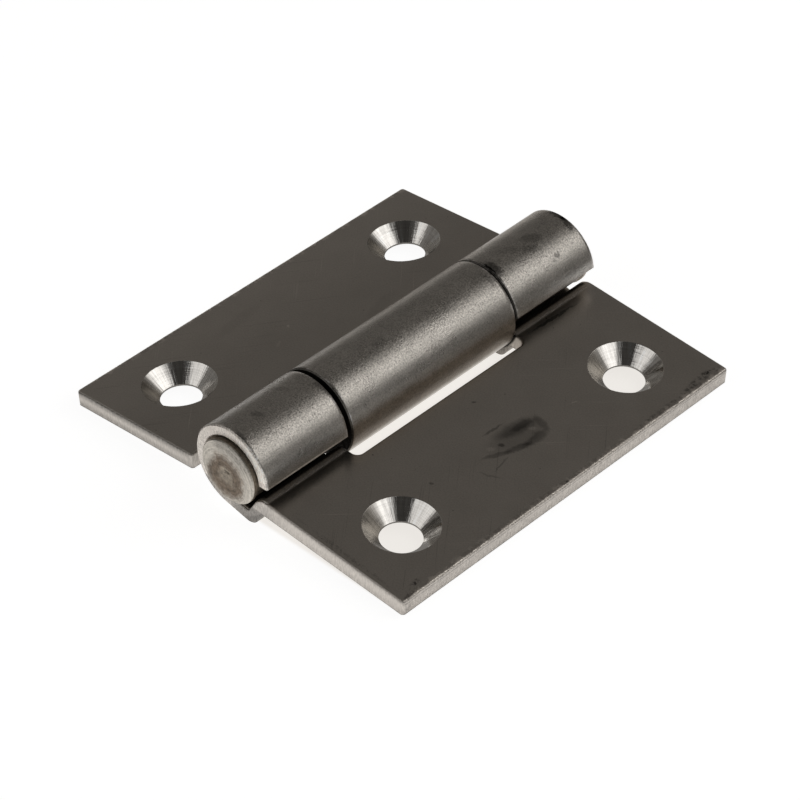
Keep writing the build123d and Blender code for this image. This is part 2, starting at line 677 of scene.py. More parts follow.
@dataclass(frozen=True)
class LeafTones:
    """How much each pattern lightens or darkens the steel, as a share of its colour.

    A pair goes from the plain part of a knuckle to its pitted line.
    """

    cloud: float = 0.2
    skin: Span = (1.3, 2.4)
    ripple: float = 0.35
    pits: Span = (-0.25, -0.75)
    face_skin: float = 0.45
    flecks: float = -0.5
    scratches: float = -0.16
    light_scratches: float = 0.2
    rubbed: float = 0.6
    torn: float = 0.9
    groove: float = -0.3
    # Painted shade at the foot of the cut edges
    foot: float = -0.5
    front: float = 0.28
    outer: float = 0.12
    ring_grain: float = 1.0
    # Painted light on the side of the end ring that the pin head shades
    ring_side_light: float = 0.3
    streaks: float = 1.2
    rings: float = 0.5
    crumbs: float = 1.15
    darkest: float = 0.02


@dataclass(frozen=True)
class LeafRelief:
    """Heights of the patterns in millimetres, and how far they change the roughness.

    Frayed is how much deeper the sheet is torn along its free edge, as a factor.
    """

    cloud: float = 0.008
    pits: float = -0.008
    end_break: float = -0.16
    frayed: float = 1.2
    streaks: float = 0.024
    rings: float = 0.006
    rough_cloud: float = 0.08
    rough_streaks: float = 0.12
    rough_pits: float = 0.08


@dataclass(frozen=True)
class Zones:
    """Places on a leaf in millimetres, and the masks of what each part of it went through."""

    place: Signal
    unrolled: Signal
    pitted: Signal
    depth: Signal
    reach: Signal
    rolled: Signal
    sheared: Signal
    front: Signal
    outer: Signal
    ring: Signal
    sunk: Signal
    film_and_shade: Signal
    worn: Signal
    oxide_and_shade: Signal
    grease_and_shade: Signal
    end_break: Signal
    near_free_edge: Signal
    rings: Signal
    streaks: Signal


@dataclass(frozen=True)
class Patterns:
    """Patterns that colour, roughness and relief share: heights in millimetres, the others from 0 to 1."""

    skin: Signal
    skin_cloud: Signal
    ripple: Signal
    ripple_cloud: Signal
    torn: Signal
    torn_cloud: Signal
    cloud: Signal
    pits: Signal
    flecks: Signal
    scratches: Signal
    light_scratches: Signal


@dataclass
class HingeLeaf(DressedNode):
    """One leaf with its knuckles.

    Knuckles are pairs of ends along the pin in the leaf's own frame. The oxide_and_shade is a strip of the
    knuckle,
    from one place round the pin to another: a brown stain, and painted shade on the knuckle's lower side. The pale
    edge is how much lighter the sheet is at its free edge. The film_and_shade dulls and darkens one side of the
    countersinks, the one that lies in the direction of its angle, in degrees from X towards Y: a brown stain, and
    painted shade. Pits are deepest along one line of the knuckles, which is a place round the pin. The front roll
    is how deep the front edge's upper side is shaded and how darkly, and the front foot how dark its lower side
    is. The smudges_and_shade and smears lie on the face, the smears broken into crumbs, and some of the marks of
    the leaf towards X there are painted shade. The blotches_and_shade lie on the knuckles with ragged edges, some
    of them painted shade, and the glints_and_shade there keep sharp edges: painted highlights and painted shade.
    """

    node: str
    side: Side
    shift: float
    knuckles: Sequence[Span]
    oxide_and_shade: Span
    oxide_and_shade_strength: float
    pale_edge: float
    film_and_shade_angle: float
    film_and_shade_strength: float
    pitted: float
    front_roll: Span
    front_foot: float
    smudges_and_shade: Sequence[Mark]
    smears: Sequence[Mark]
    blotches_and_shade: Sequence[Mark]
    # Painted highlights and painted shade, drawn with sharp edges
    glints_and_shade: Sequence[Mark]
    sizes: HingeSizes
    steel: LeafSteel = LeafSteel()
    places: LeafPlaces = LeafPlaces()
    tones: LeafTones = LeafTones()
    heights: LeafRelief = LeafRelief()
    hole_seed: float = 7.3
    tear_stretch: tuple[float, float, float] = (1.0, 1.0, 0.3)

    def surface(self, wires: Wiring, effects: Effects) -> tuple[Signal, Signal, Signal]:
        """Wires the leaf's patterns.

        Args:
            wires: the material's tree.
            effects: the shared effects.

        Returns:
            Colour, roughness and height in millimetres.
        """
        zones = self.zones(wires, effects)
        patterns = self.patterns(zones.place, effects)
        colour = self.colour(zones, patterns, effects)
        return colour, self.roughness(zones, patterns), self.relief(zones, patterns)

    def own_frame(self, wires: Wiring) -> tuple[Signal, Signal]:
        """Turns the object's coordinates into the leaf's own.

        Args:
            wires: the material's tree.

        Returns:
            Place in millimetres and normal, both with X out along the leaf and Z up from its face.
        """
        sign = self.side.value
        turn = (0.0, sign * self.sizes.slope, 0.0)
        pivot = (0.0, self.shift * MM, self.sizes.pin_height * MM)
        scale = (sign * MM, MM, MM)
        place = wires.framed(wires.coordinates("Object"), Location=pivot, Rotation=turn, Scale=scale)
        return place, wires.framed(wires.coordinates("Normal"), Rotation=turn, Scale=(sign, 1.0, 1.0))

    def zones(self, wires: Wiring, effects: Effects) -> Zones:
        """Works out the masks from the place and the normal.

        Args:
            wires: the material's tree.
            effects: the shared effects.

        Returns:
            The places and masks.
        """
        sizes, places = self.sizes, self.places
        place, normal = self.own_frame(wires)
        x, y, z = place.split()
        nx, ny, nz = normal.split()
        along = abs(y)
        radius = wires.distance(x, z)

        hole_x = x - sizes.hole_reach
        hole_y = along - sizes.hole_spacing / 2
        half_way = wires.math("SIGN", y)
        turned = effects.turned.place(wires, X=hole_x, Y=hole_y, Seed=half_way * self.hole_seed)
        in_sink = turned["Radius"].ramp(*beyond(sizes.sink_radius, places.sink_rim))
        sunk = in_sink * nz.ramp(*places.sink_facing)
        film_and_shade_turn = math.radians(self.film_and_shade_angle)
        towards_film_and_shade = hole_x * math.cos(film_and_shade_turn) + hole_y * half_way * math.sin(film_and_shade_turn)
        # Painted shade with a brown stain: the side of each countersink towards the angle is darkened
        film_and_shade = sunk * (towards_film_and_shade / turned["Radius"]).ramp(*places.film_and_shade_facing) * self.film_and_shade_strength

        flat = radius.ramp(*beyond(sizes.knuckle_radius, places.knuckle_skin))
        rolled = 1.0 - flat
        cut_knuckle = (abs(nx * x + nz * z) / radius).ramp(*places.knuckle_cut)
        cut_leaf = wires.distance(nx, ny).ramp(*places.leaf_cut)
        sheared = wires.blend(flat, cut_knuckle, cut_leaf) * (1.0 - sunk)

        hinge_end = along.ramp(*beyond(sizes.leaf_end, places.hinge_end))
        end_face = abs(ny).ramp(*places.end_facing)
        bore = sizes.knuckle_radius - sizes.knuckle_wall
        inside = radius.ramp(sizes.knuckle_radius + places.knuckle_inside, bore + places.bore_inside)
        joint = inside.at_least(end_face)

        arc = wires.math("ARCTAN2", x, z) * sizes.knuckle_radius
        unrolled = wires.join(arc, y, 0.0)
        insets = [wires.math("MINIMUM", y - low, high - y) for low, high in self.knuckles]
        near_end = reduce(Signal.at_least, insets)
        fall = wires.math("MULTIPLY_ADD", near_end, -1.0 / places.end_round, 1.0).at_least(0.0)
        rim = effects.worn.mask(wires, Place=place, Distance=near_end, Width=places.end_rim)

        middle, half = sum(self.oxide_and_shade) / 2, abs(self.oxide_and_shade[1] - self.oxide_and_shade[0]) / 2
        rough_arc = wires.ragged(unrolled, size=1.6, reach=0.35).split()[0]
        strip = abs(rough_arc - middle).ramp(half, half * places.oxide_and_shade_core)
        low, high = places.end_facing
        return Zones(
            place=place,
            unrolled=unrolled,
            pitted=arc.band(self.pitted, places.pitted_half),
            depth=sizes.sheet_top - z,
            reach=x,
            rolled=rolled,
            sheared=sheared,
            front=sheared * ny.ramp(-low, -high),
            outer=sheared * nx.ramp(low, high),
            ring=radius.ramp(*places.ring) * hinge_end * end_face,
            sunk=sunk,
            film_and_shade=film_and_shade,
            worn=rim * rolled * (1.0 - joint),
            # Painted shade with a brown stain: a strip of the knuckle's lower side is darkened
            oxide_and_shade=strip * rolled * self.oxide_and_shade_strength,
            # Painted shade with grease: the bore and the knuckle ends in the joints between knuckles are darkened
            grease_and_shade=rolled * joint * (1.0 - hinge_end),
            end_break=fall * fall * rolled * (1.0 - end_face),
            near_free_edge=sizes.leaf_width - x,
            rings=turned["Rings"],
            streaks=turned["Streaks"],
        )

    def patterns(self, place: Signal, effects: Effects) -> Patterns:
        """Reads the patterns that colour, roughness and relief share.

        Args:
            place: place on the leaf in millimetres.
            effects: the shared effects.

        Returns:
            The patterns.
        """
        wires = place.wires
        skin = effects.grain.place(wires, Place=place, Size=0.17, Depth=0.034)
        ripple = effects.grain.place(wires, Place=place, Size=2.6, Depth=0.05)
        stretched = wires.vector("MULTIPLY", place, self.tear_stretch)
        torn = effects.grain.place(wires, Place=stretched, Size=0.2, Depth=0.06)
        return Patterns(
            skin=skin["Height"],
            skin_cloud=skin["Cloud"],
            ripple=ripple["Height"],
            ripple_cloud=ripple["Cloud"],
            torn=torn["Height"],
            torn_cloud=torn["Cloud"],
            cloud=wires.noise(place, scale=0.22, detail=5.0, gain=0.65),
            pits=effects.specks.mask(wires, Place=place, Spacing=0.42, Size=0.22, Share=0.3),
            flecks=effects.specks.mask(wires, Place=place, Spacing=1.7, Size=0.085, Share=0.45),
            scratches=effects.scratches.mask(wires, Place=place, Turn=0.9, Share=0.6),
            light_scratches=effects.scratches.mask(wires, Place=place, Turn=2.3, Share=0.45),
        )

    def dirt_and_painted_light(self, zones: Zones, effects: Effects) -> Signal:
        """Adds up the strokes on the face and on the knuckles: soiling, painted shade and painted highlights.

        Args:
            zones: the leaf's masks.
            effects: the shared effects.

        Returns:
            How much darker the steel is; painted highlights count below zero.
        """
        wires = zones.place.wires
        face_x, face_y, _ = wires.ragged(zones.place, size=0.9, reach=0.35).split()
        face = wires.join(face_x, face_y, 0.0)
        knuckle = wires.ragged(zones.unrolled, size=0.55, reach=0.45)
        crumbs = wires.noise(zones.place, scale=2.6, detail=4.0, gain=0.7).ramp(*self.places.crumbs)
        smeared = drawn(self.smears, effects, face) * crumbs * self.tones.crumbs
        on_face = drawn(self.smudges_and_shade, effects, face) + smeared
        blotched_and_shaded = drawn(self.blotches_and_shade, effects, knuckle) * (1.0 - zones.sheared)
        on_knuckle = blotched_and_shaded + drawn(self.glints_and_shade, effects, zones.unrolled)
        return on_face * (1.0 - zones.rolled) + on_knuckle * zones.rolled

    def layers(self, zones: Zones) -> list[tuple[Signal, Finish]]:
        """Masks and finishes over the bare sheet, from the lowest up."""
        names = ("rolled", "sheared", "ring", "sunk", "film_and_shade", "worn", "oxide_and_shade", "grease_and_shade")
        return [(getattr(zones, name), getattr(self.steel, name)) for name in names]

    def colour(self, zones: Zones, patterns: Patterns, effects: Effects) -> Signal:
        """Lays the finishes over each other and varies their tone.

        Args:
            zones: the leaf's masks.
            patterns: the shared patterns.
            effects: the shared effects.

        Returns:
            The colour.
        """
        wires, places, tones = zones.place.wires, self.places, self.tones
        colour: Plug = self.steel.sheet.colour
        for mask, finish in self.layers(zones):
            colour = wires.tint(mask, colour, finish.colour)
        bare = 1.0 - zones.rolled.at_least(zones.sheared.at_least(zones.sunk))
        skin = (
            patterns.skin_cloud.about(1.0) * zones.pitted.spread(*tones.skin)
            + patterns.ripple_cloud.about(tones.ripple)
            + patterns.pits * zones.pitted.spread(*tones.pits)
        )
        rubbed = effects.worn.mask(
            wires, Place=zones.place, Distance=zones.near_free_edge, Width=places.rubbed
        )
        face = (
            patterns.skin_cloud.about(tones.face_skin)
            + patterns.flecks * tones.flecks
            + patterns.scratches * tones.scratches
            + patterns.light_scratches * tones.light_scratches
            + zones.reach.ramp(*places.pale) * self.pale_edge
            + rubbed * tones.rubbed
        )
        front = zones.front * (1.0 - zones.rolled) * zones.reach.ramp(*places.front_reach)
        roll_depth, roll_shade = self.front_roll
        cut = (
            patterns.torn_cloud.about(tones.torn)
            + zones.depth.band(*places.groove) * zones.outer * tones.groove
            # Painted shade: the foot of each cut edge is darker, where the floor under it lies in shade
            + zones.depth.ramp(*places.foot) * tones.foot
            + zones.depth.ramp(roll_depth, 0.0) * front * -roll_shade
            + zones.depth.ramp(*places.front_foot) * front * -self.front_foot
            + front * tones.front
            + zones.outer * tones.outer
        )
        # Painted light: the end ring is lighter towards the leaf, making up for the pin head's shadow
        ring_side_light = zones.reach.ramp(*places.ring_side_light) * tones.ring_side_light
        ring = patterns.skin_cloud.about(tones.ring_grain) + ring_side_light
        turned = zones.streaks.about(tones.streaks) + zones.rings.about(tones.rings)
        tone = (
            1.0
            + patterns.cloud.about(tones.cloud)
            + skin * zones.rolled * (1.0 - zones.sheared)
            + face * bare
            + cut * zones.sheared
            + ring * zones.ring * zones.rolled
            + turned * zones.sunk
        )
        after_marks = 1.0 - self.dirt_and_painted_light(zones, effects)
        return wires.scaled(colour, (tone * after_marks).at_least(tones.darkest))

    def roughness(self, zones: Zones, patterns: Patterns) -> Signal:
        """Lays the finishes' roughness over each other and varies it.

        Args:
            zones: the leaf's masks.
            patterns: the shared patterns.

        Returns:
            The roughness.
        """
        rough: Plug = self.steel.sheet.roughness
        for mask, finish in self.layers(zones):
            rough = zones.place.wires.blend(mask, rough, finish.roughness)
        return (
            rough
            + patterns.cloud.about(self.heights.rough_cloud)
            + zones.streaks.about(self.heights.rough_streaks) * zones.sunk
            + patterns.pits * zones.rolled * self.heights.rough_pits
        )

    def relief(self, zones: Zones, patterns: Patterns) -> Signal:
        """Adds up the heights.

        Args:
            zones: the leaf's masks.
            patterns: the shared patterns.

        Returns:
            The height in millimetres.
        """
        heights = self.heights
        frayed = zones.near_free_edge.ramp(*self.places.frayed) * (1.0 - zones.rolled)
        return (
            patterns.cloud.about(heights.cloud) * (1.0 - zones.sunk)
            + (patterns.skin + patterns.ripple) * zones.rolled
            + patterns.pits * zones.rolled * heights.pits
            + zones.end_break * heights.end_break
            + patterns.torn * (zones.sheared + frayed * heights.frayed)
            + zones.streaks * zones.sunk * heights.streaks
            + zones.rings * zones.sunk * heights.rings
        )


@dataclass
class HingePin(DressedNode):
    """The riveted pin.

    The stain on each end is a ragged disc whose middle lies beside the pin's own, with a paler core and a
    dark oily upper side. Lengths are in millimetres, and tones are shares of the colour.
    """

    node: str
    sizes: HingeSizes
    stain_middle: Span = (-0.35, -0.75)
    stain_edge: Span = (3.2, 1.9)
    stain_wander: float = 2.2
    core_edge: Span = (1.5, 0.5)
    core_strength: float = 0.8
    oily_edge: Span = (1.0, 3.6)
    oily_slant: float = 0.35
    oily_wander: float = 1.5
    end_facing: Span = (0.4, 0.8)
    shank: Finish = Finish((0.34, 0.29, 0.235), 0.5)
    rim: Finish = Finish((0.52, 0.482, 0.425), 0.45)
    brown: Finish = Finish((0.165, 0.128, 0.095), 0.5)
    core: Colour = (0.32, 0.28, 0.225)
    grit_tone: float = 0.8
    mottle_tone: float = 1.3
    ring_tone: float = 0.9
    speck_tone: float = -0.35
    oily_tone: float = -0.42
    darkest: float = 0.05
    rough_cloud: float = 0.1
    ring_height: float = 0.02

    def surface(self, wires: Wiring, effects: Effects) -> tuple[Signal, Signal, Signal]:
        """Wires a pale rim round a brown stain with a paler, ring-marked middle.

        Args:
            wires: the material's tree.
            effects: the shared effects.

        Returns:
            Colour, roughness and height in millimetres.
        """
        pivot = (0.0, 0.0, self.sizes.pin_height * MM)
        place = wires.framed(wires.coordinates("Object"), Location=pivot, Scale=(MM, MM, MM))
        x, y, z = place.split()
        ny = wires.coordinates("Normal").split()[1]
        end = abs(ny).ramp(*self.end_facing)
        off_x, off_z = x - self.stain_middle[0], z - self.stain_middle[1]
        marks = effects.turned.place(wires, X=off_x, Y=off_z, Seed=wires.math("SIGN", y))
        grit = effects.grain.place(wires, Place=place, Size=0.28, Depth=0.06)
        specks = effects.specks.mask(wires, Place=place, Spacing=0.34, Size=0.3, Share=0.4)
        cloud = wires.noise(place, scale=0.8, detail=4.0, gain=0.65)
        mottle = wires.noise(place, scale=1.9, detail=3.0, gain=0.6)
        ragged = marks["Radius"] + cloud.about(self.stain_wander)
        stained = ragged.ramp(*self.stain_edge) * end
        paler = ragged.ramp(*self.core_edge) * end * self.core_strength
        oily = (z + x * self.oily_slant + cloud.about(self.oily_wander)).ramp(*self.oily_edge)

        colour = wires.tint(end, self.shank.colour, self.rim.colour)
        colour = wires.tint(stained, colour, self.brown.colour)
        colour = wires.tint(paler, colour, self.core)
        tone = (
            1.0
            + grit["Cloud"].about(self.grit_tone)
            + mottle.about(self.mottle_tone) * stained
            + marks["Rings"].about(self.ring_tone) * end
            + specks * stained * self.speck_tone
            + oily * self.oily_tone
        )
        rough = wires.blend(end, self.shank.roughness, self.rim.roughness)
        rough = wires.blend(stained, rough, self.brown.roughness) + cloud.about(self.rough_cloud)
        height = grit["Height"] + marks["Rings"] * end * self.ring_height
        return wires.scaled(colour, tone.at_least(self.darkest)), rough, height


def patch_mesh(name: str, points: np.ndarray) -> bpy.types.Mesh:
    """Surface over a grid of points: each square of four neighbours is a face.

    Args:
        name: the mesh's name.
        points: array of rows, columns and three coordinates, in metres.

    Returns:
        The mesh, with the share along each column and row as its UV map.
    """
    rows, columns = points.shape[:2]
    first = (np.arange(rows - 1)[:, None] * columns + np.arange(columns - 1)).ravel()
    quads = np.stack((first, first + 1, first + columns + 1, first + columns), axis=-1)
    mesh = bpy.data.meshes.new(name)
    mesh.from_pydata(points.reshape(-1, 3).tolist(), [], quads.tolist())
    across, up = np.meshgrid(np.linspace(0.0, 1.0, columns), np.linspace(0.0, 1.0, rows))
    parameters = np.stack((across, up), axis=-1).reshape(-1, 2)[quads.ravel()]
    mesh.uv_layers.new(name="patch").data.foreach_set("uv", parameters.ravel())
    return mesh


def bare_material(name: str) -> tuple[bpy.types.Material, Wiring]:
    """Makes a material with nothing but its output.

    Args:
        name: the material's name.

    Returns:
        The material and its tree.
    """
    material = bpy.data.materials.new(name)
    material.use_nodes = True
    wires = Wiring(material.node_tree)
    wires.tree.nodes.remove(wires.tree.nodes["Principled BSDF"])
    return material, wires


def place_on_stage(name: str, points: np.ndarray, material: bpy.types.Material) -> bpy.types.Object:
    """Makes a studio surface and puts it into the scene.

    Args:
        name: the object's name.
        points: grid of its points, in metres.
        material: its material.

    Returns:
        The object.
    """
    mesh = patch_mesh(name, points)
    mesh.materials.append(material)
    surface = bpy.data.objects.new(name, mesh)
    bpy.context.scene.collection.objects.link(surface)
    log.info("%s in place", name)
    return surface


@dataclass(frozen=True)
class DomePanel:
    """Panel of the studio's dome about the hinge: a lamp's soft screen or the dark cloth behind the lamps.

    Angles are in degrees, the azimuth from X towards Y and the elevation above the floor. The feather is
    the share of the panel over which its light fades out at the edges, which makes it a lamp. The shade is
    how much weaker a full dome is at its dim side, between two cosines of the angle from there.
    """

    name: str
    azimuth: Span
    elevation: Span
    radius: float
    light: float
    colour: Colour
    feather: float = 0.0
    shade: float = 0.0
    dim_side: float = -45.0
    dim_cosines: Span = (-0.3, 0.9)
    steps: int = 24

    def build(self) -> None:
        """Makes the panel and hides it from the camera, so that only the hinge and the floor see it."""
        panel = place_on_stage(self.name, self.points(), self.material())
        panel.visible_camera = False
        panel.visible_shadow = self.feather == 0

    def points(self) -> np.ndarray:
        """Patch of a sphere: x, y and z are cos(el)cos(az), cos(el)sin(az) and sin(el) times the radius.

        Returns:
            Grid of points.
        """
        azimuth = np.radians(np.linspace(*self.azimuth, self.steps + 1))
        elevation = np.radians(np.linspace(*self.elevation, self.steps + 1))
        az, el = np.meshgrid(azimuth, elevation)
        return self.radius * np.stack((np.cos(el) * np.cos(az), np.cos(el) * np.sin(az), np.sin(el)), axis=-1)

    def material(self) -> bpy.types.Material:
        """A lamp adds light that fades out at its edges, and the dome glows more weakly on its dim side.

        Returns:
            The material.
        """
        material, wires = bare_material(self.name)
        u, v, _ = wires.coordinates("UV").split()
        if self.feather > 0:
            fade_u, fade_v = (wires.math("PINGPONG", part, 0.5).ramp(0.0, self.feather) for part in (u, v))
            strength = fade_u * fade_v * self.light
        else:
            material.cycles.emission_sampling = "NONE"
            from_dim_side = wires.math("MULTIPLY_ADD", u, 2 * math.pi, -math.pi - math.radians(self.dim_side))
            dimmed = wires.math("COSINE", from_dim_side).ramp(*self.dim_cosines)
            strength = dimmed.spread(1.0, 1.0 - self.shade) * self.light
        glow = wires.out("Emission", {"Color": opaque(self.colour), "Strength": strength})
        if self.feather > 0:
            glow = wires.out("AddShader", {0: wires.out("BsdfTransparent", {}), 1: glow})
        wires.feed(wires.tree.nodes["Material Output"].inputs["Surface"], glow)
        return material


@dataclass(frozen=True)
class FloorCloth:
    """Cloth on the floor that keeps the white floor out of the steel's reflections.

    Its sides are in metres from the middle of the pin, along two directions that are X and Y before the
    turn, in degrees.
    """

    name: str
    turn: float
    right: Span
    ahead: Span
    glow: float
    colour: Colour = (1.0, 0.95, 0.89)
    lift: float = 0.0001

    def build(self) -> None:
        """Makes the cloth, which only reflections see."""
        material, wires = bare_material(self.name)
        glow = wires.out("Emission", {"Color": opaque(self.colour), "Strength": self.glow})
        wires.feed(wires.tree.nodes["Material Output"].inputs["Surface"], glow)
        material.cycles.emission_sampling = "NONE"
        cloth = place_on_stage(self.name, self.points(), material)
        cloth.visible_camera = False
        cloth.visible_shadow = False
        cloth.visible_diffuse = False

    def points(self) -> np.ndarray:
        """Flat rectangle: a times the direction to the right plus b times the direction ahead.

        Returns:
            Grid of its four corners.
        """
        turn = math.radians(self.turn)
        a, b = np.meshgrid(np.array(self.right), np.array(self.ahead))
        x = a * math.cos(turn) - b * math.sin(turn)
        y = a * math.sin(turn) + b * math.cos(turn)
        return np.stack((x, y, np.full_like(x, self.lift)), axis=-1)


@dataclass(frozen=True)
class Studio:
    """White floor under a dark dome with soft lamps, before a white background.

    Lengths are in metres. The azimuth is the camera's, in degrees. The shade is the rectangle of floor
    under the leaf that doesn't move, which shows through its holes.
    """

    azimuth: float
    floor_side: float = 3.0
    floor_glow: float = 0.92
    floor_colour: Colour = (0.35, 0.35, 0.35)
    shade_x: Span = (-0.001, 0.0235)
    shade_y: Span = (-0.0245, 0.0245)
    shade_blur: float = 0.0006
    shade_colour: Colour = (0.85, 0.82, 0.78)
    lamp_colour: Colour = (1.0, 0.985, 0.965)
    dome_colour: Colour = (1.0, 0.95, 0.89)
    cloth_reach: float = 0.7
    cloth_gap: float = 0.042
    cloth_gap_behind: float = 0.036
    leaf_ahead: Span = (-0.0254, 0.0254)
    leaf_right: Span = (0.0072, 0.0245)

    def build(self) -> None:
        """Lays the floor and its cloths, hangs the dome and sets the background."""
        self.lay_floor()
        for surface in self.panels() + self.cloths():
            surface.build()
        world = bpy.data.worlds.new("white background")
        bpy.context.scene.world = world
        world.use_nodes = True
        world.node_tree.nodes["Background"].inputs["Color"].default_value = (1.0, 1.0, 1.0, 1.0)

    def panels(self) -> list[DomePanel]:
        """The dark dome and the lamps in front of it.

        Returns:
            The panels.
        """
        lamp = self.lamp_colour
        return [
            DomePanel("dark_dome", (-180, 180), (0, 90), 0.75, 0.13, self.dome_colour, shade=0.75, steps=48),
            DomePanel("right_lamp", (-25, 86), (19, 62), 0.70, light=1.0, colour=lamp, feather=0.28),
            DomePanel("right_glow", (-5, 85), (0, 36), 0.72, light=0.13, colour=lamp, feather=0.3),
            DomePanel("front_lamp", (-144, -72), (14, 50), 0.70, light=0.6, colour=lamp, feather=0.12),
        ]

    def cloths(self) -> list[FloorCloth]:
        """Dark cloths at both sides, a grey one behind, and under each leaf a dark one that is painted shadow in
        reflections.

        Returns:
            The cloths.
        """
        gap, reach = self.cloth_gap, self.cloth_reach
        inner, outer = self.leaf_right
        whole = (-reach, reach)
        behind = (self.cloth_gap_behind, reach)
        return [
            FloorCloth("right_cloth", self.azimuth, (gap, reach), whole, glow=0.12),
            FloorCloth("left_cloth", self.azimuth, (-reach, -gap), whole, glow=0.12),
            FloorCloth("back_cloth", self.azimuth, (-gap, gap), behind, glow=0.5),
            FloorCloth("right_shade", 0.0, (inner, outer), self.leaf_ahead, glow=0.18),
            FloorCloth("left_shade", 0.0, (-outer, -inner), self.leaf_ahead, glow=0.18),
        ]

    def lay_floor(self) -> None:
        """White floor: it glows towards the camera and in reflections, and its lit part keeps the shadow."""
        half = self.floor_side / 2
        x, y = np.meshgrid(np.array((-half, half)), np.array((-half, half)))
        material, wires = bare_material("white floor")
        rays = ("Is Camera Ray", "Is Glossy Ray", "Is Transmission Ray")
        seen = reduce(Signal.at_least, [wires.out("LightPath", {}, ray) for ray in rays])
        floor_x, floor_y, _ = wires.coordinates("Object").split()
        under = [
            part.ramp(end, end + inwards * self.shade_blur)
            for part, ends in ((floor_x, self.shade_x), (floor_y, self.shade_y))
            for end, inwards in zip(ends, (1, -1))
        ]
        colour = wires.tint(reduce(operator.mul, under), (1.0, 1.0, 1.0), self.shade_colour)
        glow = wires.out("Emission", {"Color": colour, "Strength": seen * self.floor_glow})
        lit = wires.out("BsdfDiffuse", {"Color": opaque(self.floor_colour)})
        both = wires.out("AddShader", {0: glow, 1: lit})
        wires.feed(wires.tree.nodes["Material Output"].inputs["Surface"], both)
        material.cycles.emission_sampling = "NONE"
        place_on_stage("floor", np.stack((x, y, np.zeros_like(x)), axis=-1), material)


@dataclass(frozen=True)
class PhotoCamera:
    """Camera at the photograph's place: lengths in millimetres from the pin's middle, angles in degrees."""

    focal_pixels: float = 3294.527
    image_pixels: float = 800.0
    azimuth: float = 44.579
    elevation: float = 39.492
    roll: float = -1.134
    distance: float = 348.448
    shift_right: float = -0.282
    shift_up: float = -4.603
    sensor: float = 36.0

    def build(self, pin_height: float) -> None:
        """Makes the scene's camera.

        Args:
            pin_height: height of the pin axis over the floor, in millimetres.
        """
        az, el, roll = (math.radians(angle) for angle in (self.azimuth, self.elevation, self.roll))
        back = Vector((math.sin(az) * math.cos(el), -math.cos(az) * math.cos(el), math.sin(el)))
        right = Vector((math.cos(az), math.sin(az), 0.0))
        up = back.cross(right)
        place = back * self.distance + right * self.shift_right + up * self.shift_up
        place.z += pin_height
        across = math.cos(roll) * right + math.sin(roll) * up
        upright = math.cos(roll) * up - math.sin(roll) * right
        turn = Matrix((across, upright, back)).transposed().to_4x4()
        data = bpy.data.cameras.new("camera")
        data.sensor_width = self.sensor
        data.lens = self.sensor * self.focal_pixels / self.image_pixels
        camera = bpy.data.objects.new("camera", data)
        camera.matrix_world = Matrix.Translation(place * MM) @ turn
        bpy.context.scene.collection.objects.link(camera)
        bpy.context.scene.camera = camera
        log.info("camera in place")


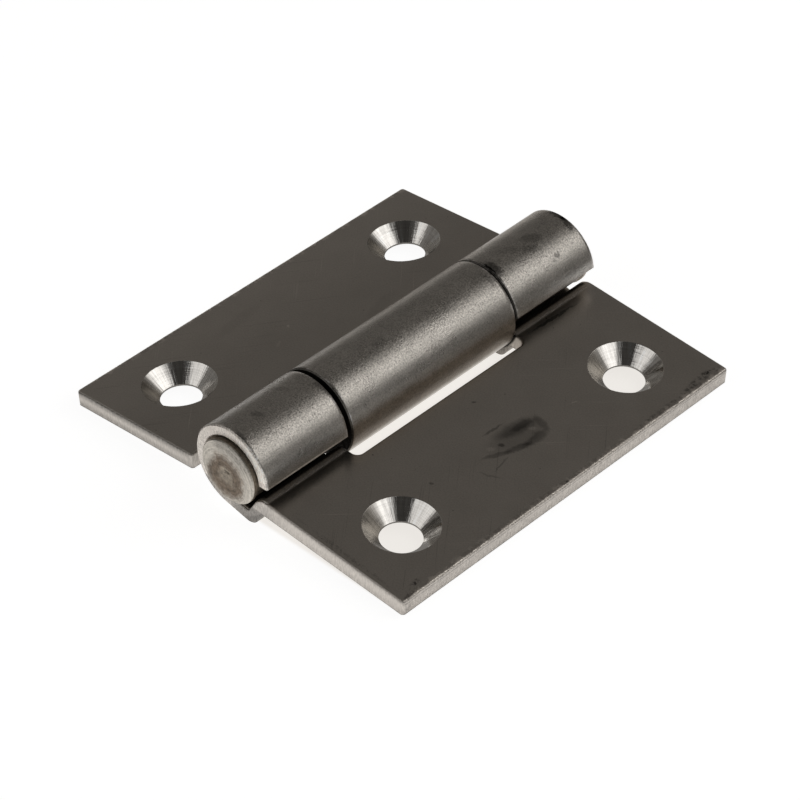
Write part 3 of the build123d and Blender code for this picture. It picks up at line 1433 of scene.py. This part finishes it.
def two_knuckle_leaf(sizes: HingeSizes) -> HingeLeaf:
    """The leaf towards X, with a dark smudge amid its face and smears at its corners.

    Args:
        sizes: the hinge's sizes.

    Returns:
        The leaf.
    """
    oval = [
        Mark((14.6, -0.4), (15.3, 3.8), 2.3, 0.36),
        Mark((14.9, 1.2), (15.3, 3.9), 1.2, 0.2),
        Mark((15.5, 4.4), (17.1, 4.0), 1.2, 0.3),
        Mark((17.5, 0.6), (17.5, 3.6), 1.5, 0.36),
        Mark((16.9, -1.6), (17.5, 1.0), 1.1, 0.34),
        Mark((15.7, -4.3), (17.1, -1.2), 0.8, 0.34),
        Mark((15.6, -1.8), (16.4, 3.2), 3.8, 0.24),
        Mark((13.45, -1.7), (13.55, 1.3), 0.4, 0.4),
        Mark((15.6, -1.4), (15.8, -1.3), 0.6, 0.4),
        Mark((17.3, -2.2), (17.9, -4.9), 0.3, 0.3),
        Mark((16.7, -6.1), (19.2, -4.9), 0.3, 0.22),
    ]
    spots_and_shade = [
        # Painted shade on the face beside the far knuckle
        Mark((5.85, 13.6), (6.1, 21.3), 0.5, 0.6),
        # Painted shade on the front end below the front knuckle's curl
        Mark((1.5, -25.0), (5.6, -25.0), 1.6, 0.32),
        Mark((9.1, 1.4), (9.2, 1.5), 0.4, 0.45),
        Mark((24.0, -0.5), (24.0, -0.4), 0.35, 0.5),
        Mark((14.5, -10.8), (14.6, -10.7), 0.35, 0.4),
        Mark((16.3, 8.6), (16.8, 9.5), 0.25, -0.25),
        Mark((15.3, -2.7), (15.4, -2.5), 0.8, -0.2),
        Mark((16.2, 2.8), (16.3, 2.9), 0.8, -0.25),
    ]
    smears = [
        Mark((23.8, 10.0), (23.7, 20.0), 0.7, 0.35),
        Mark((23.6, 18.6), (23.2, 23.4), 1.2, 0.5),
        Mark((23.1, 22.6), (23.6, 24.4), 0.9, 0.5),
        Mark((23.2, -22.9), (23.2, -21.4), 0.7, 0.6),
        Mark((23.6, -22.6), (24.2, -24.6), 0.9, 0.4),
        Mark((23.9, -20.0), (23.9, 10.0), 0.6, 0.2),
        Mark((8.0, -24.2), (23.0, -24.4), 0.6, 0.25),
    ]
    blotches_and_shade = [
        Mark((-0.2, 19.0), (0.5, 20.2), 1.8, 0.36),
        Mark((1.0, 17.8), (1.4, 18.9), 1.3, 0.3),
        Mark((-0.6, 15.5), (0.2, 17.0), 1.4, 0.16),
        Mark((3.45, 20.6), (3.5, 20.7), 0.8, 0.5),
        Mark((3.9, 19.9), (3.95, 20.0), 0.45, 0.35),
        # Painted shade: the dark crescent of the far knuckle's rounded end
        Mark((-1.6, 24.8), (0.6, 24.6), 1.0, 0.6),
        Mark((0.2, 24.6), (2.2, 24.2), 1.0, 0.6),
        # Painted shade beside the joint between the middle and the far knuckle
        Mark((0.0, 12.9), (1.5, 13.2), 1.6, 0.7),
        Mark((-1.4, 12.6), (3.2, 12.6), 0.5, 0.4),
        # Painted shade along each knuckle's lower side, where it faces the leaf
        Mark((6.8, 12.0), (6.8, 26.0), 2.2, 0.25),
        Mark((6.9, -26.5), (6.9, -12.0), 3.0, 0.5),
        Mark((0.4, -24.6), (1.6, -24.7), 0.9, 0.45),
        Mark((-0.4, -21.4), (0.2, -21.1), 1.1, 0.35),
        # Painted shade on the front knuckle's back end, beside the joint
        Mark((0.4, -13.7), (2.6, -13.6), 0.8, 0.4),
        Mark((-2.0, -17.0), (-0.6, -16.4), 1.0, 0.2),
    ]
    # Painted highlight along the front knuckle's free edge
    painted_lip_glint = Mark((7.5, -24.8), (7.5, -13.4), 0.22, -0.7)
    # Painted shade on the front end of the curl, under its free edge
    painted_end_shade = Mark((9.2, -25.0), (16.3, -25.0), 1.6, 0.45)
    return HingeLeaf(
        "two_knuckle_leaf",
        Side.TOWARDS_X,
        shift=0.0,
        knuckles=((-25.0, -13.25), (12.4, 25.0)),
        oxide_and_shade=(6.6, 8.2),
        oxide_and_shade_strength=0.25,
        pale_edge=0.0,
        film_and_shade_angle=224.0,
        film_and_shade_strength=0.9,
        pitted=2.3,
        front_roll=(0.7, 0.35),
        front_foot=0.12,
        smudges_and_shade=oval + spots_and_shade,
        smears=smears,
        blotches_and_shade=blotches_and_shade,
        glints_and_shade=[painted_lip_glint, painted_end_shade],
        sizes=sizes,
    )


def one_knuckle_leaf(sizes: HingeSizes, shift: float) -> HingeLeaf:
    """The leaf away from X, nearly unmarked on its face; its knuckle has a stain and painted shade above the slot.

    Args:
        sizes: the hinge's sizes.
        shift: of the leaf along the pin, in millimetres.

    Returns:
        The leaf.
    """
    smudges_and_shade = [
        Mark((15.0, -2.6), (15.1, -2.5), 0.4, -0.3),
        Mark((13.2, -5.9), (13.6, -5.1), 0.5, -0.12),
        Mark((9.0, 4.0), (10.5, 9.0), 2.0, 0.08),
        Mark((19.5, -9.0), (20.5, -2.0), 2.0, 0.06),
    ]
    blotches_and_shade = [
        Mark((-1.2, 11.2), (-3.6, 11.4), 0.9, 0.25),
        Mark((-1.5, 2.0), (-2.5, 3.5), 1.4, 0.12),
        Mark((-2.0, -6.0), (-1.2, -4.0), 1.2, 0.12),
    ]
    return HingeLeaf(
        "one_knuckle_leaf",
        Side.AWAY_FROM_X,
        shift=shift,
        knuckles=((-12.7 - shift, 12.3 - shift),),
        oxide_and_shade=(-6.4, -11.8),
        oxide_and_shade_strength=0.95,
        pale_edge=0.16,
        film_and_shade_angle=295.0,
        film_and_shade_strength=1.0,
        pitted=-3.0,
        front_roll=(1.05, 0.75),
        front_foot=0.35,
        smudges_and_shade=smudges_and_shade,
        smears=[Mark((23.9, -23.0), (23.9, -8.0), 0.5, 0.15)],
        blotches_and_shade=blotches_and_shade,
        # Painted highlight along the knuckle's front end, beside the joint
        glints_and_shade=[Mark((-4.2, -12.85), (-7.9, -12.85), 0.4, -0.9)],
        sizes=sizes,
    )


def main() -> None:
    """Dresses every piece, then builds the studio and the camera."""
    logging.basicConfig(level=logging.INFO, format="%(message)s")
    bpy.context.scene.view_settings.view_transform = "Standard"
    record = frame["record"]
    sizes = HingeSizes.read(record, frame["joints"])
    effects = Effects.build()
    two_knuckle_leaf(sizes).dress(effects)
    one_knuckle_leaf(sizes, shift=record["mounts"][2]["pos_m"][1] / MM).dress(effects)
    HingePin("hinge_pin", sizes).dress(effects)
    camera = PhotoCamera()
    camera.build(sizes.pin_height)
    Studio(camera.azimuth).build()


if __name__ == "__main__":
    main()
